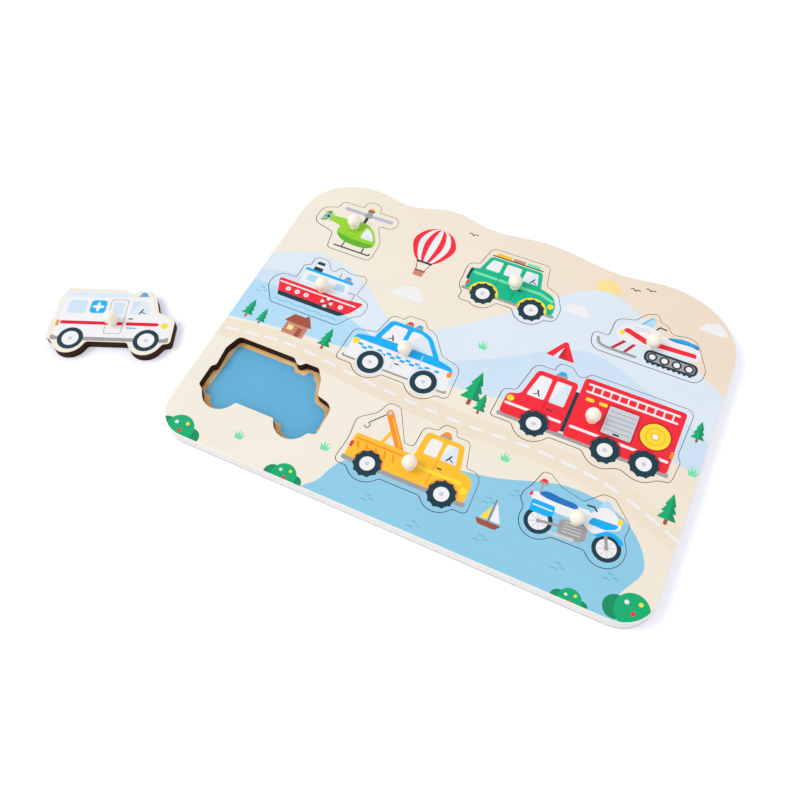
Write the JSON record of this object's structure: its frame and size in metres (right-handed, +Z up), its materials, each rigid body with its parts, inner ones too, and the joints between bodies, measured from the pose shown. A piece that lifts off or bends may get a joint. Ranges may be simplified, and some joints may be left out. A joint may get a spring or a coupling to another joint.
{
  "type": "wooden peg puzzle",
  "caption": "Flat wooden board with vehicle-shaped recesses, loose vehicle pieces that drop into them, and a small turned knob on each piece.",
  "frame": {"origin": "middle of the board's underside, on the surface that it rests on", "axes": "+X along the board's long side to the right, +Y from the straight edge to the wavy edge, +Z up out of the printed face"},
  "size_m": [0.4094, 0.226, 0.0185],
  "materials": {
    "plywood": "sanded bare wood",
    "board_print": "printed plywood, satin",
    "knob_wood": "satin lacquer",
    "helicopter_print": "printed plywood, satin",
    "boat_print": "printed plywood, satin",
    "off_roader_print": "printed plywood, satin",
    "snowmobile_print": "printed plywood, satin",
    "patrol_car_print": "printed plywood, satin",
    "fire_engine_print": "printed plywood, satin",
    "tow_truck_print": "printed plywood, satin",
    "motorcycle_print": "printed plywood, satin",
    "van_print": "printed plywood, satin"
  },
  "bodies": {
    "board": {"back_board": "plywood", "frame_plate": "board_print"},
    "helicopter": {"helicopter_piece": "helicopter_print", "helicopter_knob": "knob_wood"},
    "boat": {"boat_piece": "boat_print", "boat_knob": "knob_wood"},
    "off_roader": {"off_roader_piece": "off_roader_print", "off_roader_knob": "knob_wood"},
    "snowmobile": {"snowmobile_piece": "snowmobile_print", "snowmobile_knob": "knob_wood"},
    "patrol_car": {"patrol_car_piece": "patrol_car_print", "patrol_car_knob": "knob_wood"},
    "fire_engine": {"fire_engine_piece": "fire_engine_print", "fire_engine_knob": "knob_wood"},
    "tow_truck": {"tow_truck_piece": "tow_truck_print", "tow_truck_knob": "knob_wood"},
    "motorcycle": {"motorcycle_piece": "motorcycle_print", "motorcycle_knob": "knob_wood"},
    "van": {"van_piece": "van_print", "van_knob": "knob_wood"}
  },
  "joints": [
    {"name": "helicopter_lift", "type": "slide", "parent": "board", "child": "helicopter", "axis": [0, 0, 1], "range_m": [0, 0.03]},
    {"name": "boat_lift", "type": "slide", "parent": "board", "child": "boat", "axis": [0, 0, 1], "range_m": [0, 0.03]},
    {"name": "off_roader_lift", "type": "slide", "parent": "board", "child": "off_roader", "axis": [0, 0, 1], "range_m": [0, 0.03]},
    {"name": "snowmobile_lift", "type": "slide", "parent": "board", "child": "snowmobile", "axis": [0, 0, 1], "range_m": [0, 0.03]},
    {"name": "patrol_car_lift", "type": "slide", "parent": "board", "child": "patrol_car", "axis": [0, 0, 1], "range_m": [0, 0.03]},
    {"name": "fire_engine_lift", "type": "slide", "parent": "board", "child": "fire_engine", "axis": [0, 0, 1], "range_m": [0, 0.03]},
    {"name": "tow_truck_lift", "type": "slide", "parent": "board", "child": "tow_truck", "axis": [0, 0, 1], "range_m": [0, 0.03]},
    {"name": "motorcycle_lift", "type": "slide", "parent": "board", "child": "motorcycle", "axis": [0, 0, 1], "range_m": [0, 0.03]},
    {"name": "van_lift", "type": "slide", "parent": "board", "child": "van", "axis": [0, 0, 1], "range_m": [0, 0.03]}
  ]
}
